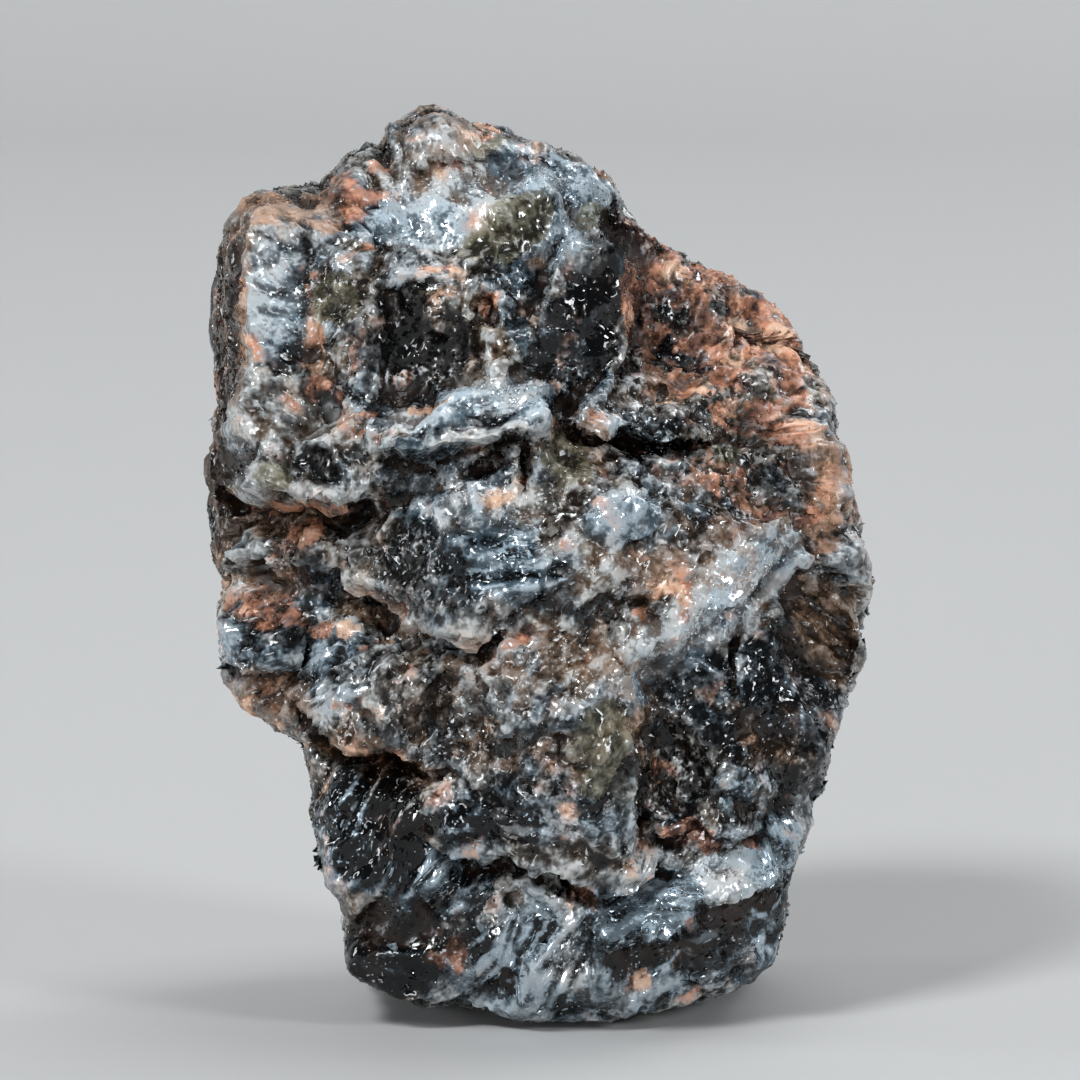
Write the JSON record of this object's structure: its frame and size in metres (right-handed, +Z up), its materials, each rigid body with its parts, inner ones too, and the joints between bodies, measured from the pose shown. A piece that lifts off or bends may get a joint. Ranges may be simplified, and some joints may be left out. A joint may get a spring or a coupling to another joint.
{
  "type": "carbonado diamond",
  "caption": "Rough piece of black sintered diamond that stands upright on its broken foot, with a block-like crown, overhanging ledges, lumps, pits and split crystal faces.",
  "frame": {"origin": "middle of the stone's box, on the surface that it stands on", "axes": "+Z up to the crown, -Y out of the show face, +X to the right of the show face"},
  "size_m": [0.0086, 0.0078, 0.0116],
  "materials": {
    "sintered_diamond": "rough broken surface with glassy crystal faces, grey-brown to black, rust brown in the breaks"
  },
  "bodies": {
    "root": {"carbonado": "sintered_diamond"}
  },
  "joints": []
}
